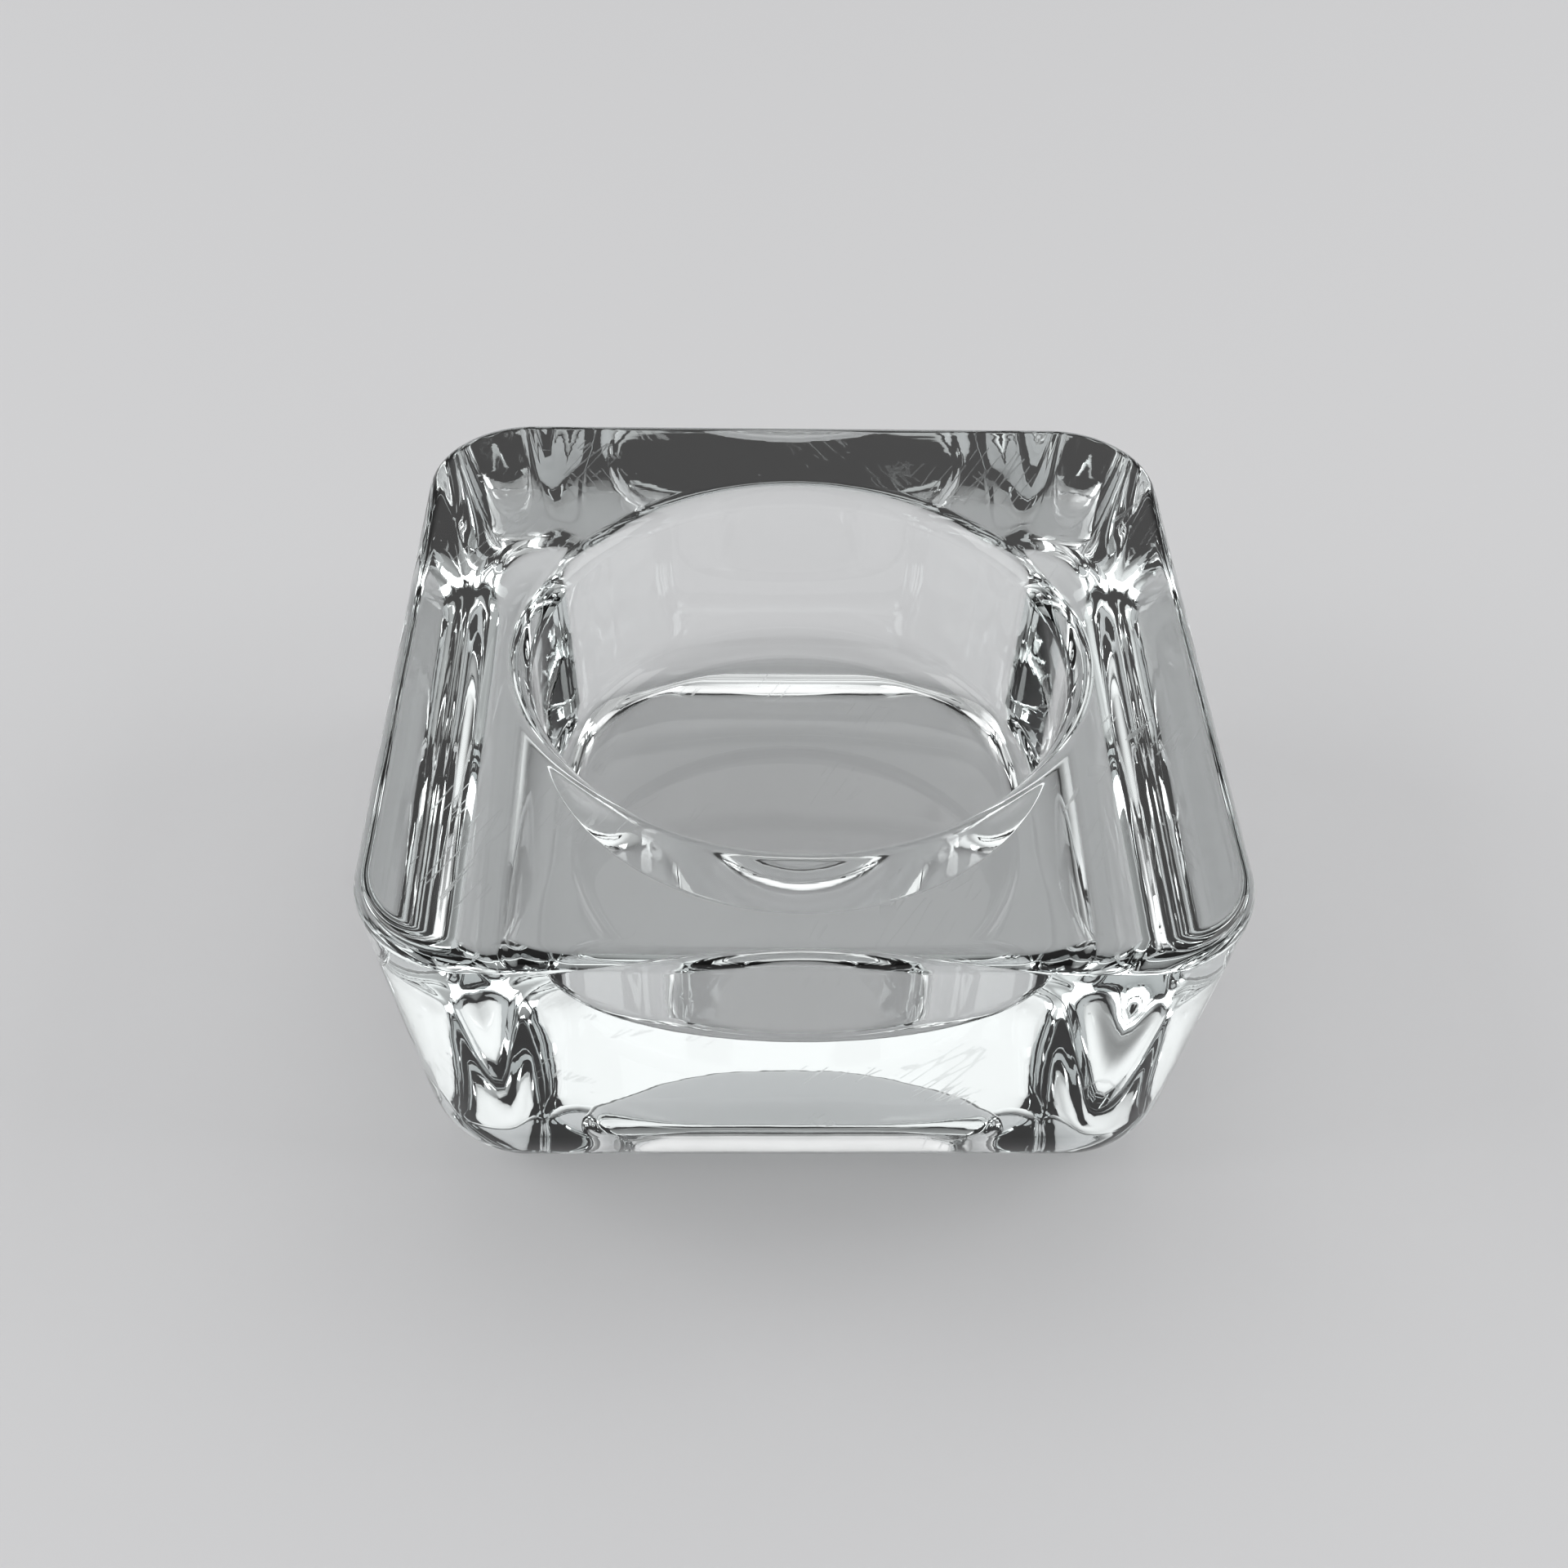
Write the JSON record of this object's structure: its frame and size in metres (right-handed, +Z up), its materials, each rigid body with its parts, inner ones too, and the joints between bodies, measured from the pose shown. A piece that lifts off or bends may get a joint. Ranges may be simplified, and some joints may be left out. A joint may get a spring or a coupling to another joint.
{
  "type": "tealight holder",
  "caption": "Square clear pressed-glass tealight holder with rounded corners, slightly tapered sides and a deep round well open at the top.",
  "frame": {"origin": "middle of the base, on the plane that the holder stands on", "axes": "+Z up along the axis of the well, +X and +Y square to the sides"},
  "size_m": [0.06, 0.06, 0.0283],
  "materials": {
    "clear_glass": "fire-polished, smooth and glossy, with a very faint green tint in thick glass"
  },
  "bodies": {
    "root": {"glass_block": "clear_glass"}
  },
  "joints": []
}
